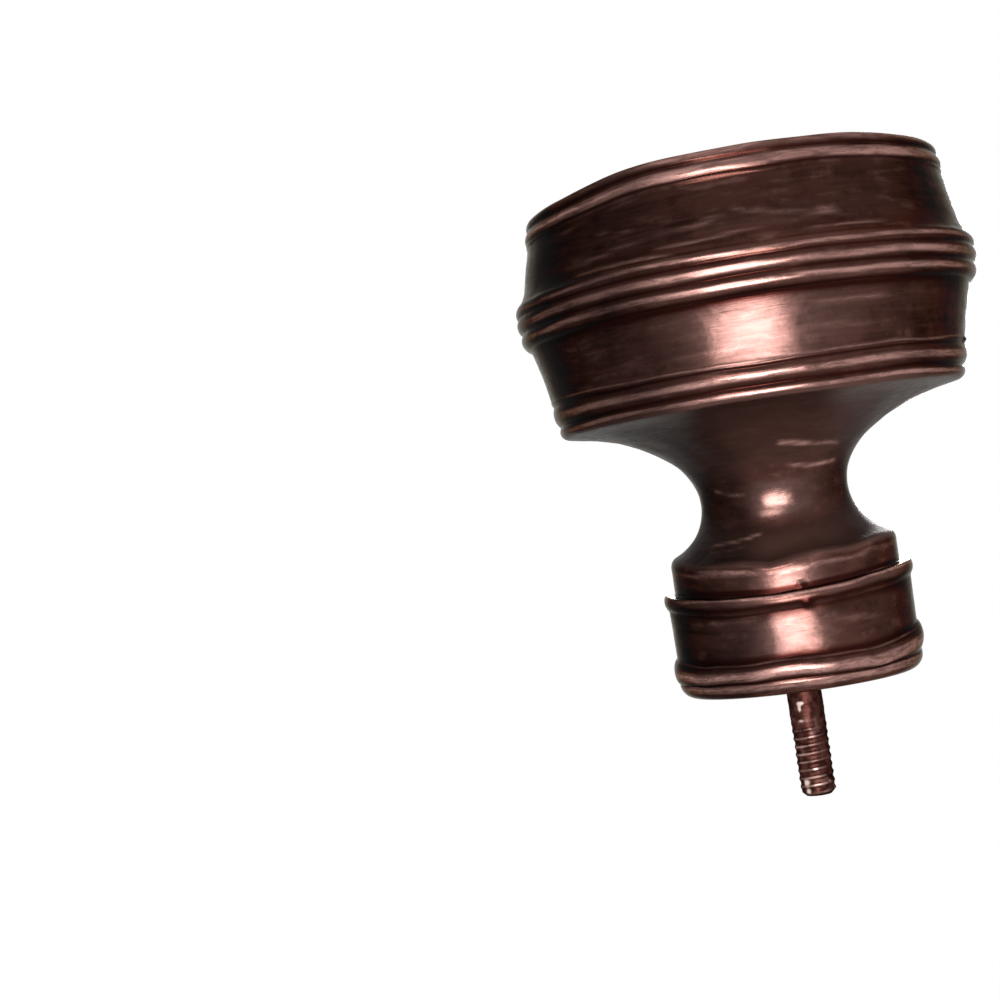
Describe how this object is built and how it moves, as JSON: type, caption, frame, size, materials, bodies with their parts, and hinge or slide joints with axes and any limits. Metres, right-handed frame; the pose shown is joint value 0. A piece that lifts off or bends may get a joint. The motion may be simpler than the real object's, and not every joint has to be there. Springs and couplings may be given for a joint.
{
  "type": "curtain pole finial",
  "caption": "End piece for a curtain pole: a drum-shaped moulded head on a waisted neck and collar, with a threaded stud that screws into the pole's end.",
  "frame": {"origin": "centre of the seat, the flat face that butts against the pole's end, where the stud comes out", "axes": "+Z along the pole's axis, from the seat towards the head; the stud points to -Z"},
  "size_m": [0.0612, 0.0612, 0.0834],
  "materials": {
    "aged_copper_paint": "cast resin painted dark brown, with copper brushed over it round the mouldings",
    "coppered_steel": "steel stud with worn copper-coloured paint on the thread"
  },
  "bodies": {
    "root": {"finial_body": "aged_copper_paint", "threaded_stud": "coppered_steel"}
  },
  "joints": []
}
